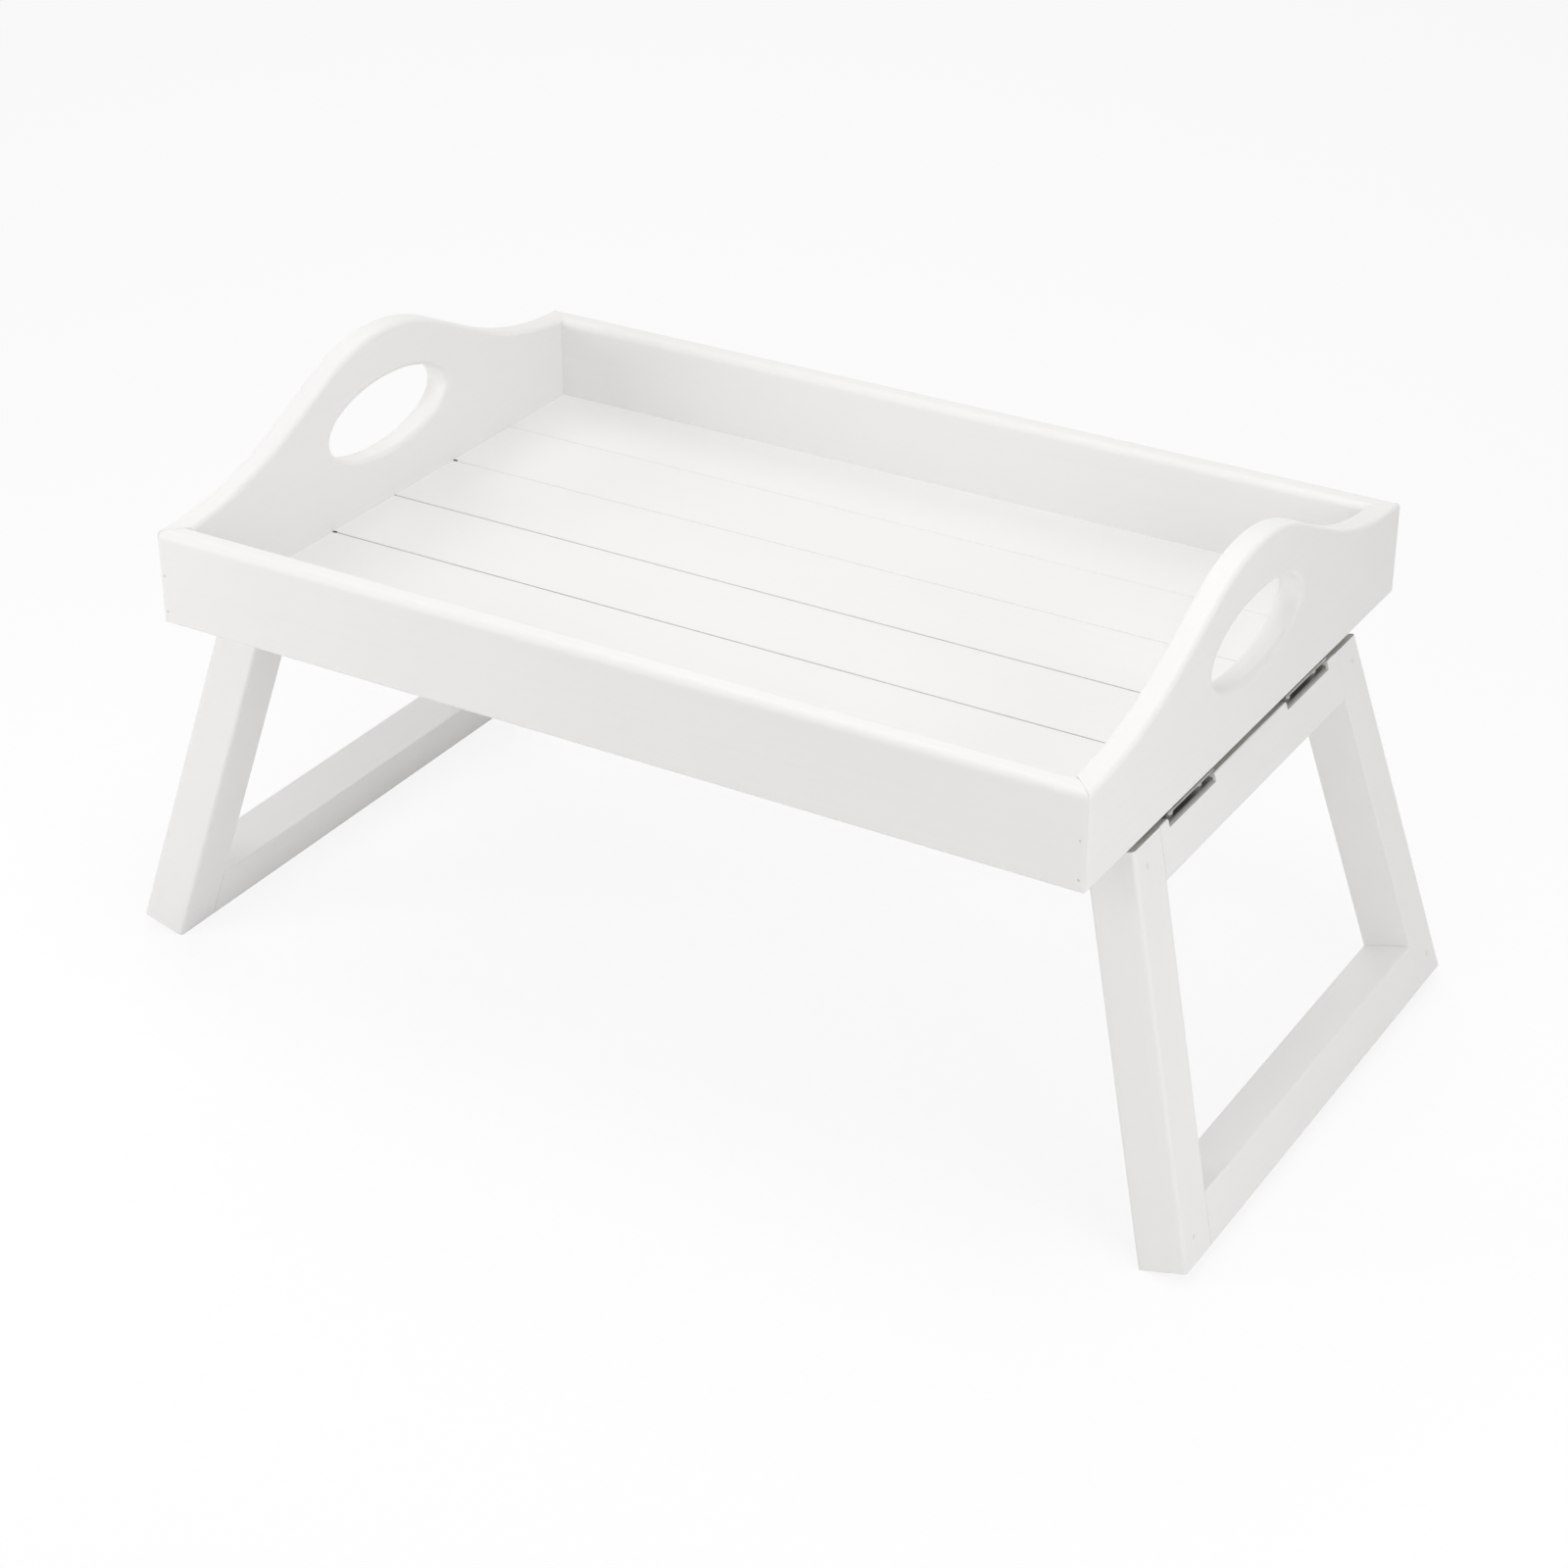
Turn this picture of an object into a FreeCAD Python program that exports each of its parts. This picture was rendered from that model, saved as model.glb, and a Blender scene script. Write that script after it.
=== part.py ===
import FreeCAD, Part
import Sketcher

import math
import os
import re

# Folding bed tray table, millimetres, +Z up. The origin lies on the floor under the middle of
# the tray; X runs along the tray, -Y is its front. A shallow tray with humped, hand-holed ends
# and a floor of tongued boards stands on two splayed leg frames. Each frame is hinged under a
# tray end and folds inward, flat below the floor.

DIMENSIONS = {
    # tray
    "tray_length": 500, "tray_depth": 340, "board_thick": 13,
    "rail_height": 49, "hump_height": 97.5, "crown_radius": 104, "shoulder_radius": 200,
    "rail_round": 4, "end_round": 2.5, "arris_round": 2.5, "mitre_gap": 0.04,
    "grip_width": 98, "grip_height": 40, "grip_centre": 51.3,
    # floor boards, seated in a rebate round the underside
    "rebate_height": 5, "rebate_width": 5, "floor_thick": 4.8, "floor_play": 0.3,
    "seam_gap": 0.4, "seam_chamfer": 0.3, "tongue_thick": 1.6, "tongue_reach": 2.2,
    # leg frames
    "splay": 15, "frame_height": 195.2, "frame_top_half": 122.5, "frame_foot_half": 151.5,
    "leg_width": 26, "bar_thick": 25, "bar_height": 25, "frame_gap": 2.5,
    "leg_round": 2, "leg_inner_round": 0.4, "bar_round": 1, "tenon_thick": 8, "tenon_height": 15,
    "tenon_top_half": 118.5, "tenon_foot_half": 143.5, "tenon_play": 0.15,
    # hinges
    "hinge_length": 48, "hinge_offset": 64, "pivot_inset": 27, "knuckle_radius": 3.25,
    "leaf_thick": 1.4, "pin_radius": 1.75, "pin_play": 0.05, "knuckle_play": 0.15,
    "upper_tip": 26.5, "lower_tip": 26.5, "screw_reach": 22, "screw_spread": 15,
    "mortise_play": 0.4,
    # fasteners
    "screw_radius": 1.5, "screw_length": 14, "head_radius": 2.7, "head_height": 1.75,
    "head_rim": 0.6,
    "nail_radius": 0.7, "nail_length": 12, "nail_head_radius": 1.4, "nail_head": 0.8,
    "brad_radius": 0.6, "brad_length": 25, "brad_inset": 3.4, "brad_low": 6.8, "brad_high": 26,
    "peg_radius": 1.1, "peg_length": 18, "peg_inset": 4.5, "peg_rise": 2, "drill_play": 0.05,
}

FLOOR_BOARDS = 6
KNUCKLES = 5

# Lengths that follow from the driving dimensions.
HALF_LENGTH = "tray_length / 2"
HALF_DEPTH = "tray_depth / 2"
FLARE = "((frame_foot_half - frame_top_half) / frame_height)"
LEG_SPAN = f"(leg_width * sqrt(1 + {FLARE} ^ 2))"
SPLAY = "(splay * 1 deg)"
UNDERSIDE = f"(frame_gap + frame_height * cos{SPLAY} + bar_thick * sin{SPLAY})"
PIVOT_X = "(tray_length / 2 - pivot_inset)"
PIVOT_Z = f"({UNDERSIDE} - knuckle_radius)"
LIP = "(board_thick - rebate_width)"
FLOOR_HALF_LENGTH = f"({HALF_LENGTH} - {LIP} - floor_play)"
FLOOR_HALF_DEPTH = f"({HALF_DEPTH} - {LIP} - floor_play)"
BOARD_PITCH = f"((tray_depth - 2 * board_thick) / {FLOOR_BOARDS})"
NAIL_X = f"({HALF_LENGTH} - {LIP} - rebate_width / 2)"
MORTISE_DROP = f"((2 * knuckle_radius - frame_gap) / cos{SPLAY})"
MORTISE_RUN = f"((2 * knuckle_radius - frame_gap) / sin{SPLAY})"
KNUCKLE_PITCH = f"(hinge_length / {KNUCKLES})"

doc = FreeCAD.newDocument("BedTrayTable")
sheet = doc.addObject("Spreadsheet::Sheet", "dims")
for row, (alias, value) in enumerate(DIMENSIONS.items(), start=1):
    sheet.set(f"A{row}", alias)
    sheet.set(f"B{row}", str(value))
    sheet.setAlias(f"B{row}", alias)
doc.recompute()

NAMES = re.compile(r"\b(" + "|".join(DIMENSIONS) + r")\b")


def bound(text):
    """The expression with each dimension's name pointed at its cell."""
    return NAMES.sub(r"dims.\1", str(text))


def size(text):
    """The present value of an expression."""
    value = sheet.evalExpression(bound(text))
    return float(getattr(value, "Value", value))


def vector(x, y, z=0.0):
    return FreeCAD.Vector(x, y, z)


# ---------------------------------------------------------------- sketches and features

def new_body(label):
    body = doc.addObject("PartDesign::Body", label)
    body.Label = label
    return body


def new_sketch(body, name, plane, offset=None):
    """A sketch on one of the body's own planes, moved along the plane's normal by offset."""
    sketch = body.newObject("Sketcher::SketchObject", name)
    support = next(o for o in body.Origin.OriginFeatures if o.Role == plane)
    sketch.AttachmentSupport = (support, "")
    sketch.MapMode = "FlatFace"
    if offset is not None:
        sketch.setExpression("AttachmentOffset.Base.z", bound(offset))
    return sketch


def pin_point(sketch, geometry, vertex, name, x, y):
    """Fix a point of the sketch at two distances from its origin."""
    for kind, text in (("DistanceX", x), ("DistanceY", y)):
        index = sketch.addConstraint(Sketcher.Constraint(kind, -1, 1, geometry, vertex, size(text)))
        label = f"{name}_{kind[-1].lower()}"
        sketch.renameConstraint(index, label)
        sketch.setExpression(f"Constraints.{label}", bound(text))


def set_radius(sketch, geometry, name, text):
    index = sketch.addConstraint(Sketcher.Constraint("Radius", geometry, size(text)))
    sketch.renameConstraint(index, name)
    sketch.setExpression(f"Constraints.{name}", bound(text))


def draw_polygon(sketch, points):
    """A closed outline of straight edges through points given as pairs of expressions."""
    spots = [vector(size(x), size(y)) for x, y in points]
    first = sketch.GeometryCount
    for here, there in zip(spots, spots[1:] + spots[:1]):
        sketch.addGeometry(Part.LineSegment(here, there), False)
    for i, (x, y) in enumerate(points):
        after = first + (i + 1) % len(points)
        sketch.addConstraint(Sketcher.Constraint("Coincident", first + i, 2, after, 1))
        pin_point(sketch, first + i, 1, f"point{first + i}", x, y)


def draw_box(sketch, x0, x1, y0, y1):
    draw_polygon(sketch, [(x0, y0), (x1, y0), (x1, y1), (x0, y1)])


def draw_circle(sketch, x, y, radius):
    centre = vector(size(x), size(y))
    index = sketch.addGeometry(Part.Circle(centre, vector(0, 0, 1), size(radius)), False)
    pin_point(sketch, index, 3, f"centre{index}", x, y)
    set_radius(sketch, index, f"radius{index}", radius)


def draw_ellipse(sketch, x, y, half_width, half_height):
    """An upright ellipse, wider than it is high."""
    centre = vector(size(x), size(y))
    side = centre + vector(size(half_width), 0)
    top = centre + vector(0, size(half_height))
    index = sketch.addGeometry(Part.Ellipse(side, top, centre), False)
    sketch.exposeInternalGeometry(index)
    pin_point(sketch, index, 3, f"centre{index}", x, y)
    sketch.addConstraint(Sketcher.Constraint("Horizontal", index + 1))
    for line, name, text in ((index + 1, "wide", half_width), (index + 2, "high", half_height)):
        full = f"2 * {text}"
        number = sketch.addConstraint(Sketcher.Constraint("Distance", line, size(full)))
        sketch.renameConstraint(number, name)
        sketch.setExpression(f"Constraints.{name}", bound(full))


def add_pad(body, sketch, length, reversed_=False, centred=False):
    pad = body.newObject("PartDesign::Pad", f"{sketch.Name}_pad")
    pad.Profile = sketch
    pad.setExpression("Length", bound(length))
    pad.Reversed = reversed_
    pad.Midplane = centred
    sketch.Visibility = False
    doc.recompute()
    return pad


def add_pocket(body, sketch, depth=None, reversed_=False, centred=False):
    """Cut the sketch to a depth, or right through both ways, and make sure that it cuts."""
    before = body.Shape.Volume
    pocket = body.newObject("PartDesign::Pocket", f"{sketch.Name}_pocket")
    pocket.Profile = sketch
    pocket.Midplane = centred or depth is None
    pocket.Reversed = reversed_
    if depth is None:
        pocket.Type = "ThroughAll"
    else:
        pocket.setExpression("Length", bound(depth))
    sketch.Visibility = False
    doc.recompute()
    if body.Shape.Volume >= before - 0.01:
        raise RuntimeError(f"{pocket.Name} cuts nothing")
    return pocket


def add_mirror(body, feature, plane):
    """Repeat a feature on the other side of one of the body's own planes."""
    before = body.Shape.Volume
    mirror = body.newObject("PartDesign::Mirrored", f"{feature.Name}_mirror")
    mirror.Originals = [feature]
    support = next(o for o in body.Origin.OriginFeatures if o.Role == plane)
    mirror.MirrorPlane = (support, [""])
    body.Tip = mirror
    doc.recompute()
    if abs(body.Shape.Volume - before) < 0.01:
        raise RuntimeError(f"{mirror.Name} changes nothing")
    return mirror


def add_row(body, feature, axis, length, count):
    """Repeat a feature in a row along one of the body's own axes."""
    row = body.newObject("PartDesign::LinearPattern", f"{feature.Name}_row")
    row.Originals = [feature]
    support = next(o for o in body.Origin.OriginFeatures if o.Role == axis)
    row.Direction = (support, [""])
    row.setExpression("Length", bound(length))
    row.Occurrences = count
    body.Tip = row
    doc.recompute()
    return row


def add_fillet(body, radius, wanted, flat=False):
    """Round, or bevel flat, every edge of the body that the test picks by middle and ends."""
    kind, length = ("Chamfer", "Size") if flat else ("Fillet", "Radius")
    base = body.Tip
    edges = []
    for i, edge in enumerate(base.Shape.Edges, start=1):
        middle = edge.valueAt((edge.FirstParameter + edge.LastParameter) / 2)
        ends = [vertex.Point for vertex in edge.Vertexes]
        if wanted(middle, ends):
            edges.append(f"Edge{i}")
    fillet = body.newObject(f"PartDesign::{kind}", f"{base.Name}_round")
    fillet.Base = (base, edges)
    fillet.setExpression(length, bound(radius))
    doc.recompute()
    return fillet


def spread(points, axis):
    """How far a list of points reaches along one axis, 0 for X to 2 for Z."""
    values = [point[axis] for point in points]
    return max(values) - min(values)


def near(value, text, slack=0.01):
    return abs(value - size(text)) < slack


def place(thing, x="0", y="0", z="0", turn=0, tilt=None):
    """Stand a piece in the assembly: tilted about Y by an expression, then turned about Z."""
    lean = -size(tilt) if tilt else 0
    spin = FreeCAD.Rotation(vector(0, 0, 1), turn) * FreeCAD.Rotation(vector(0, 1, 0), lean)
    thing.Placement = FreeCAD.Placement(vector(size(x), size(y), size(z)), spin)
    for axis, text in (("x", x), ("y", y), ("z", z)):
        thing.setExpression(f"Placement.Base.{axis}", bound(text))


# ---------------------------------------------------------------- tray

def arc(centre, radius, start, end):
    """The arc that runs anticlockwise from one point to another."""
    circle = Part.Circle(centre, vector(0, 0, 1), radius)
    return Part.ArcOfCircle(circle, circle.parameter(start), circle.parameter(end))


def draw_hump(sketch):
    """The end's outline: square below, an ogee above from two shoulders up to one crown."""
    half, foot = size(HALF_DEPTH), size("rail_height")
    crown, shoulder = size("crown_radius"), size("shoulder_radius")
    low = vector(0, size("hump_height") - crown)
    high = vector(half, foot + shoulder)
    across = high - low
    lean = math.atan2(across.x, across.y) - math.acos((crown + shoulder) / across.Length)
    ray = vector(math.sin(lean), math.cos(lean))
    rise, fall = low + ray * crown, high - ray * shoulder

    def flip(point):
        return vector(-point.x, point.y)

    corners = [vector(-half, foot), vector(-half, 0), vector(half, 0), vector(half, foot)]
    for here, there in zip(corners, corners[1:]):
        sketch.addGeometry(Part.LineSegment(here, there), False)
    sketch.addGeometry(arc(high, shoulder, fall, corners[3]), False)
    sketch.addGeometry(Part.LineSegment(fall, rise), False)
    sketch.addGeometry(arc(low, crown, rise, flip(rise)), False)
    sketch.addGeometry(Part.LineSegment(flip(rise), flip(fall)), False)
    sketch.addGeometry(arc(flip(high), shoulder, corners[0], flip(fall)), False)
    left, bottom, right, arc_right, slope_right, crown_arc, slope_left, arc_left = range(8)
    start, end, centre = 1, 2, 3
    joined = ((left, end, bottom, start), (bottom, end, right, start),
              (right, end, arc_right, end), (left, start, arc_left, start))
    smooth = ((arc_right, start, slope_right, start), (slope_right, end, crown_arc, start),
              (crown_arc, end, slope_left, start), (slope_left, end, arc_left, end))
    for kind, pairs in (("Coincident", joined), ("Tangent", smooth)):
        for pair in pairs:
            sketch.addConstraint(Sketcher.Constraint(kind, *pair))
    pin_point(sketch, left, start, "left_top", f"-{HALF_DEPTH}", "rail_height")
    pin_point(sketch, bottom, start, "left_foot", f"-{HALF_DEPTH}", "0")
    pin_point(sketch, bottom, end, "right_foot", HALF_DEPTH, "0")
    pin_point(sketch, right, end, "right_top", HALF_DEPTH, "rail_height")
    pin_point(sketch, crown_arc, centre, "crown", "0", "hump_height - crown_radius")
    set_radius(sketch, crown_arc, "crown_bend", "crown_radius")
    shoulder_height = "rail_height + shoulder_radius"
    pin_point(sketch, arc_right, centre, "shoulder_right", HALF_DEPTH, shoulder_height)
    pin_point(sketch, arc_left, centre, "shoulder_left", f"-{HALF_DEPTH}", shoulder_height)


def board_middles():
    """The floor boards' middles from front to rear."""
    return [f"({i} - {(FLOOR_BOARDS - 1) / 2}) * {BOARD_PITCH}" for i in range(FLOOR_BOARDS)]


def nail_rows():
    """Two nails to each board, a quarter of its width either side of its middle."""
    return [f"{y} + {side} * {BOARD_PITCH} / 4" for y in board_middles() for side in (-1, 1)]


def hinge_screw_rows():
    return [f"{side} * hinge_offset + {step} * screw_spread"
            for side in (-1, 1) for step in (-1, 1)]


def make_end(label, turn):
    """A tray end: its outer face lies on the YZ plane and its board reaches to -X."""
    body = new_body(label)
    outline = new_sketch(body, f"{label}_outline", "YZ_Plane")
    draw_hump(outline)
    draw_ellipse(outline, "0", "grip_centre", "grip_width / 2", "grip_height / 2")
    add_pad(body, outline, "board_thick", reversed_=True)
    foot = size("rail_height")
    add_fillet(body, "end_round", lambda middle, ends: spread(ends, 0) < 1 and (
        (middle.z > foot - 0.01 and min(p.z for p in ends) > foot - 0.01)
        or abs(middle.y) < size("grip_width") and spread(ends, 1) < 1 and middle.z > 1))
    add_fillet(body, "arris_round", lambda middle, ends: near(middle.x, "0") and (
        near(middle.z, "0") or near(abs(middle.y), HALF_DEPTH)))
    rebate = new_sketch(body, f"{label}_rebate", "XZ_Plane")
    draw_box(rebate, "-board_thick - 1", f"-{LIP}", "-1", "rebate_height")
    add_pocket(body, rebate)
    mitre = new_sketch(body, f"{label}_mitre", "XY_Plane")
    edge = f"{HALF_DEPTH} - mitre_gap"
    draw_polygon(mitre, [("1", f"{edge} + 1"), ("-board_thick - 1", f"{edge} + 1"),
                         ("-board_thick - 1", f"{edge} - board_thick - 1")])
    add_mirror(body, add_pocket(body, mitre), "XZ_Plane")
    nails = new_sketch(body, f"{label}_nails", "XY_Plane", "rebate_height")
    for y in nail_rows():
        draw_circle(nails, f"-{LIP} - rebate_width / 2", y, "nail_radius + drill_play")
    add_pocket(body, nails, "nail_length - floor_thick + floor_play", reversed_=True)
    screws = new_sketch(body, f"{label}_screws", "XY_Plane")
    for y in hinge_screw_rows():
        draw_circle(screws, "screw_reach - pivot_inset", y, "screw_radius + drill_play")
    add_pocket(body, screws, "screw_length - leaf_thick + floor_play", reversed_=True)
    brads = new_sketch(body, f"{label}_brads", "XZ_Plane", HALF_DEPTH)
    for z in ("brad_low", "brad_high"):
        draw_circle(brads, "-brad_inset", z, "brad_radius + drill_play")
    add_mirror(body, add_pocket(body, brads, "brad_length + floor_play"), "XZ_Plane")
    place(body, HALF_LENGTH if turn == 0 else f"-{HALF_LENGTH}", "0", UNDERSIDE, turn)
    return body


def make_rail(label, turn):
    """A long tray side: its outer face lies on the XZ plane and its board reaches to +Y."""
    body = new_body(label)
    outline = new_sketch(body, f"{label}_outline", "YZ_Plane")
    draw_polygon(outline, [("0", "0"), (LIP, "0"), (LIP, "rebate_height"),
                           ("board_thick", "rebate_height"), ("board_thick", "rail_height"),
                           ("0", "rail_height")])
    add_pad(body, outline, "tray_length", centred=True)
    add_fillet(body, "rail_round", lambda middle, ends: (
        spread(ends, 0) > 1 and near(middle.z, "rail_height")))
    add_fillet(body, "arris_round", lambda middle, ends: near(middle.y, "0") and (
        near(middle.z, "0") or near(abs(middle.x), HALF_LENGTH)))
    mitre = new_sketch(body, f"{label}_mitre", "XY_Plane")
    edge = f"{HALF_LENGTH} - mitre_gap"
    draw_polygon(mitre, [(f"{edge} + 1", "-1"), (f"{edge} + 1", "board_thick + 1"),
                         (f"{edge} - board_thick - 1", "board_thick + 1")])
    add_mirror(body, add_pocket(body, mitre), "YZ_Plane")
    brads = new_sketch(body, f"{label}_brads", "XZ_Plane")
    for side in (-1, 1):
        for z in ("brad_low", "brad_high"):
            x = f"{side} * ({HALF_LENGTH} - brad_inset)"
            draw_circle(brads, x, z, "brad_radius + drill_play")
    add_pocket(body, brads)
    place(body, "0", f"-{HALF_DEPTH}" if turn == 0 else HALF_DEPTH, UNDERSIDE, turn)
    return body


def make_floor_board(number):
    """One tongued and grooved floor board, its top arrises eased where it meets the next."""
    label = f"floor_board_{number}"
    body = new_body(label)
    top, under = "rebate_height", "(rebate_height - floor_thick)"
    middle = f"({top} - floor_thick / 2)"
    front = f"(({number - 1} - {FLOOR_BOARDS / 2}) * {BOARD_PITCH} + seam_gap / 2)"
    rear = f"(({number} - {FLOOR_BOARDS / 2}) * {BOARD_PITCH} - seam_gap / 2)"
    slot = "(tongue_thick / 2 + tenon_play)"
    deep = f"{front} + tongue_reach"
    groove = [(f"{front} + seam_chamfer", top), (front, f"{top} - seam_chamfer"),
              (front, f"{middle} + {slot}"), (deep, f"{middle} + {slot}"),
              (deep, f"{middle} - {slot}"), (front, f"{middle} - {slot}"), (front, under)]
    tip, half = f"{rear} + tongue_reach", "tongue_thick / 2"
    tongue = [(rear, under), (rear, f"{middle} - {half}"), (tip, f"{middle} - {half}"),
              (tip, f"{middle} + {half}"), (rear, f"{middle} + {half}"),
              (rear, f"{top} - seam_chamfer"), (f"{rear} - seam_chamfer", top)]
    if number == 1:
        groove = [(f"-{FLOOR_HALF_DEPTH}", top), (f"-{FLOOR_HALF_DEPTH}", under)]
    if number == FLOOR_BOARDS:
        tongue = [(FLOOR_HALF_DEPTH, under), (FLOOR_HALF_DEPTH, top)]
    section = new_sketch(body, f"{label}_section", "YZ_Plane")
    draw_polygon(section, groove + tongue)
    add_pad(body, section, f"2 * {FLOOR_HALF_LENGTH}", centred=True)
    rows = nail_rows()[2 * number - 2:2 * number]
    holes = new_sketch(body, f"{label}_holes", "XY_Plane")
    seats = new_sketch(body, f"{label}_seats", "XY_Plane", under)
    for y in rows:
        for side in (-1, 1):
            draw_circle(holes, f"{side} * {NAIL_X}", y, "nail_radius + drill_play")
            draw_circle(seats, f"{side} * {NAIL_X}", y, "nail_head_radius + drill_play")
    add_pocket(body, holes)
    add_pocket(body, seats, "nail_head", reversed_=True)
    place(body, "0", "0", UNDERSIDE)
    return body


# ---------------------------------------------------------------- leg frames

def inner_edge(down):
    """Half the space between a frame's legs at a distance below its top."""
    return f"(frame_top_half - {LEG_SPAN} + {down} * {FLARE})"


def tenon_box(sketch, down, play):
    """A tenon's section across the frame's thickness, its middle at a distance below the top."""
    thick = f"(tenon_thick / 2 + {play})"
    high = f"(tenon_height / 2 + {play})"
    draw_box(sketch, f"-bar_thick / 2 - {thick}", f"-bar_thick / 2 + {thick}",
             f"-{down} - {high}", f"-{down} + {high}")


def draw_pegs(sketch, places):
    for y, down in places:
        draw_circle(sketch, y, f"-{down}", "peg_radius + drill_play")


TOP_MIDDLE = "(bar_height / 2)"
FOOT_MIDDLE = "(frame_height - bar_height / 2)"
TOP_PEG = ("(tenon_top_half - peg_inset)", "(bar_height / 2 - peg_rise)")
FOOT_PEG = ("(tenon_foot_half - peg_inset)", FOOT_MIDDLE)


def stand(piece, turn):
    """Set a piece of a frame against the tray end, splayed outward."""
    x = HALF_LENGTH if turn == 0 else f"-{HALF_LENGTH}"
    place(piece, x, "0", f"{UNDERSIDE} - frame_gap", turn, "splay")


def make_leg(label, side, turn):
    """A leg: its outer face lies on the YZ plane, its top at z = 0, and it flares to one side."""
    body = new_body(label)
    outline = new_sketch(body, f"{label}_outline", "YZ_Plane")
    draw_polygon(outline, [(f"{side} * frame_top_half", "0"),
                           (f"{side} * frame_foot_half", "-frame_height"),
                           (f"{side} * (frame_foot_half - {LEG_SPAN})", "-frame_height"),
                           (f"{side} * (frame_top_half - {LEG_SPAN})", "0")])
    add_pad(body, outline, "bar_thick", reversed_=True)
    outer = (size("frame_top_half") + size("frame_foot_half")) / 2
    add_fillet(body, "leg_round", lambda middle, ends: (
        spread(ends, 2) > 1 and abs(abs(middle.y) - outer) < 0.1))
    inner = outer - size(LEG_SPAN)
    add_fillet(body, "leg_inner_round", lambda middle, ends: (
        spread(ends, 2) > 1 and abs(abs(middle.y) - inner) < 0.1))
    for name, down, reach in (("top", TOP_MIDDLE, "tenon_top_half"),
                              ("foot", FOOT_MIDDLE, "tenon_foot_half")):
        mortise = new_sketch(body, f"{label}_{name}_mortise", "XZ_Plane")
        tenon_box(mortise, down, "tenon_play")
        add_pocket(body, mortise, f"{reach} + tenon_play", reversed_=side < 0)
    pegs = new_sketch(body, f"{label}_pegs", "YZ_Plane")
    draw_pegs(pegs, [(f"{side} * {y}", down) for y, down in (TOP_PEG, FOOT_PEG)])
    add_pocket(body, pegs, "peg_length + tenon_play")
    stand(body, turn)
    return body


def make_bar(label, turn, top):
    """A cross bar with a tenon at each end; the top one is cut out for the hinge leaves."""
    body = new_body(label)
    middle, reach, peg = ((TOP_MIDDLE, "tenon_top_half", TOP_PEG) if top
                          else (FOOT_MIDDLE, "tenon_foot_half", FOOT_PEG))
    high = f"({middle} - bar_height / 2)"
    low = f"({middle} + bar_height / 2)"
    wide = f"({inner_edge(high)} - drill_play)"
    wider = f"({inner_edge(low)} - drill_play)"
    outline = new_sketch(body, f"{label}_outline", "YZ_Plane")
    draw_polygon(outline, [(f"-{wide}", f"-{high}"), (f"-{wider}", f"-{low}"),
                           (wider, f"-{low}"), (wide, f"-{high}")])
    add_pad(body, outline, "bar_thick", reversed_=True)
    floor = -size("frame_height")
    add_fillet(body, "bar_round", lambda middle, ends: (
        spread(ends, 1) > size("bar_thick") and middle.z > floor + 1))
    tenons = new_sketch(body, f"{label}_tenons", "XZ_Plane")
    tenon_box(tenons, middle, "0")
    add_pad(body, tenons, f"2 * {reach}", centred=True)
    pegs = new_sketch(body, f"{label}_pegs", "YZ_Plane")
    draw_pegs(pegs, [(f"{side} * {peg[0]}", peg[1]) for side in (-1, 1)])
    add_pocket(body, pegs, "peg_length + tenon_play")
    if top:
        cut_hinge_seats(body, label)
    stand(body, turn)
    return body


def cut_hinge_seats(body, label):
    """Cut the two wedge seats that lie level when the frame stands, and their screw holes."""
    seat = new_sketch(body, f"{label}_seat", "XZ_Plane", "hinge_offset")
    draw_polygon(seat, [("1", "1"), (f"-{MORTISE_RUN} - 1 / tan{SPLAY}", "1"),
                        ("1", f"-{MORTISE_DROP} - tan{SPLAY}")])
    cut = add_pocket(body, seat, "hinge_length + mortise_play", centred=True)
    add_mirror(body, cut, "XZ_Plane")
    screws = new_sketch(body, f"{label}_screws", "XY_Plane")
    screws.AttachmentOffset = FreeCAD.Placement(
        vector(0, 0), FreeCAD.Rotation(vector(0, 1, 0), size("splay")))
    screws.setExpression("AttachmentOffset.Rotation.Angle", bound("splay * 1 deg"))
    for y in hinge_screw_rows():
        draw_circle(screws, "screw_reach - pivot_inset", y, "screw_radius + drill_play")
    add_pocket(body, screws, "2 * knuckle_radius - frame_gap + screw_length")


# ---------------------------------------------------------------- hinges

def draw_leaf_section(sketch, side, reach):
    """A flat plate tangent to the knuckle's barrel, on the side named by the sign."""
    radius, thick, tip = size("knuckle_radius"), size("leaf_thick"), size(reach)
    under = radius - thick
    root = math.sqrt(radius ** 2 - under ** 2)
    corners = [vector(0, side * radius), vector(tip, side * radius),
               vector(tip, side * under), vector(root, side * under)]
    for here, there in zip(corners, corners[1:]):
        sketch.addGeometry(Part.LineSegment(here, there), False)
    back, tip_edge, face, barrel = range(4)
    start, end, centre = 1, 2, 3
    ends = (corners[0], corners[3]) if side > 0 else (corners[3], corners[0])
    sketch.addGeometry(arc(vector(0, 0), radius, *ends), False)
    at_back, at_face = (start, end) if side > 0 else (end, start)
    for pair in ((back, end, tip_edge, start), (tip_edge, end, face, start),
                 (face, end, barrel, at_face), (back, start, barrel, at_back)):
        sketch.addConstraint(Sketcher.Constraint("Coincident", *pair))
    sketch.addConstraint(Sketcher.Constraint("Coincident", barrel, centre, -1, 1))
    sketch.addConstraint(Sketcher.Constraint("Horizontal", face))
    pin_point(sketch, back, start, "back", "0", f"{side} * knuckle_radius")
    pin_point(sketch, back, end, "tip_back", reach, f"{side} * knuckle_radius")
    pin_point(sketch, tip_edge, end, "tip_face", reach, f"{side} * (knuckle_radius - leaf_thick)")


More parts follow.
